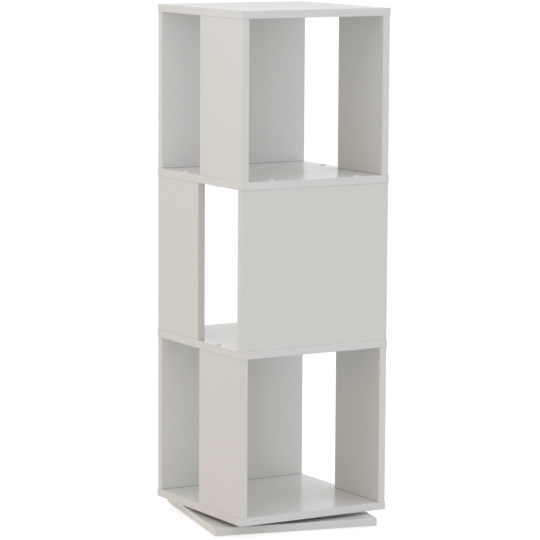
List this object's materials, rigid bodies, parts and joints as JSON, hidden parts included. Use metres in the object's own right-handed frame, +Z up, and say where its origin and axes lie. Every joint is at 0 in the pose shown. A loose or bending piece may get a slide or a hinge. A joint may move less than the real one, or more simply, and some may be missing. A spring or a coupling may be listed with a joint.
{
  "type": "rotary filing cabinet",
  "caption": "Tall square filing cabinet of open storeys on a swivel plate and square base; each storey is open at one face and beside its half-width side panels, and the storeys alternate.",
  "frame": {"origin": "on the floor, on the swivel axis, at the middle of the square base plate", "axes": "+Z up along the swivel axis; at rest -Y is the open side of the lower and upper storeys and -X is to the left of someone who faces that side; the tower's sides lie along X and Y and the base plate is turned 12.7 degrees clockwise, seen from above"},
  "size_m": [0.4182, 0.4182, 1.0694],
  "materials": {
    "white_board": "chipboard faced with matt white melamine",
    "edge_band": "white edge band, satin",
    "cap_plastic": "white moulded plastic, soft gloss",
    "zinc_steel": "zinc-plated",
    "bearing_steel": "pressed sheet, zinc-plated",
    "nail_steel": "bright drawn steel",
    "ball_steel": "polished bearing steel, greased",
    "cage_plastic": "natural nylon",
    "glide_plastic": "grey moulded plastic",
    "beech_dowel": "bare fluted beech"
  },
  "bodies": {
    "base": {"base_plate": "white_board", "base_plate_edging": "edge_band", "base_glides": "glide_plastic", "glide_nails": "nail_steel", "lower_bearing_plate": "bearing_steel", "lower_bearing_screws": "zinc_steel"},
    "tower": {"upper_bearing_plate": "bearing_steel", "upper_bearing_screws": "zinc_steel", "bottom_board": "white_board", "bottom_board_edging": "edge_band", "bottom_board_screws": "zinc_steel", "bottom_board_dowels": "beech_dowel", "lower_shelf": "white_board", "lower_shelf_edging": "edge_band", "lower_shelf_screws": "zinc_steel", "lower_shelf_dowels": "beech_dowel", "lower_shelf_screw_caps": "cap_plastic", "upper_shelf": "white_board", "upper_shelf_edging": "edge_band", "upper_shelf_screws": "zinc_steel", "upper_shelf_dowels": "beech_dowel", "upper_shelf_screw_caps": "cap_plastic", "top_board": "white_board", "top_board_edging": "edge_band", "top_board_screws": "zinc_steel", "top_board_dowels": "beech_dowel", "top_board_screw_caps": "cap_plastic", "lower_back_panel": "white_board", "lower_back_panel_edging": "edge_band", "lower_left_panel": "white_board", "lower_left_panel_edging": "edge_band", "lower_right_panel": "white_board", "lower_right_panel_edging": "edge_band", "middle_front_panel": "white_board", "middle_front_panel_edging": "edge_band", "middle_left_panel": "white_board", "middle_left_panel_edging": "edge_band", "middle_right_panel": "white_board", "middle_right_panel_edging": "edge_band", "upper_back_panel": "white_board", "upper_back_panel_edging": "edge_band", "upper_left_panel": "white_board", "upper_left_panel_edging": "edge_band", "upper_right_panel": "white_board", "upper_right_panel_edging": "edge_band"},
    "ball_ring": {"bearing_balls": "ball_steel", "ball_cage": "cage_plastic"}
  },
  "joints": [
    {"name": "tower_swivel", "type": "hinge", "parent": "base", "child": "tower", "pos_m": [0, 0, 0.023], "axis": [0, 0, 1], "continuous": true},
    {"name": "ball_ring_roll", "type": "hinge", "parent": "base", "child": "ball_ring", "pos_m": [0, 0, 0.023], "axis": [0, 0, 1], "continuous": true}
  ],
  "couplings": [
    {"joint": "ball_ring_roll", "follows": "tower_swivel", "ratio": 0.5}
  ]
}
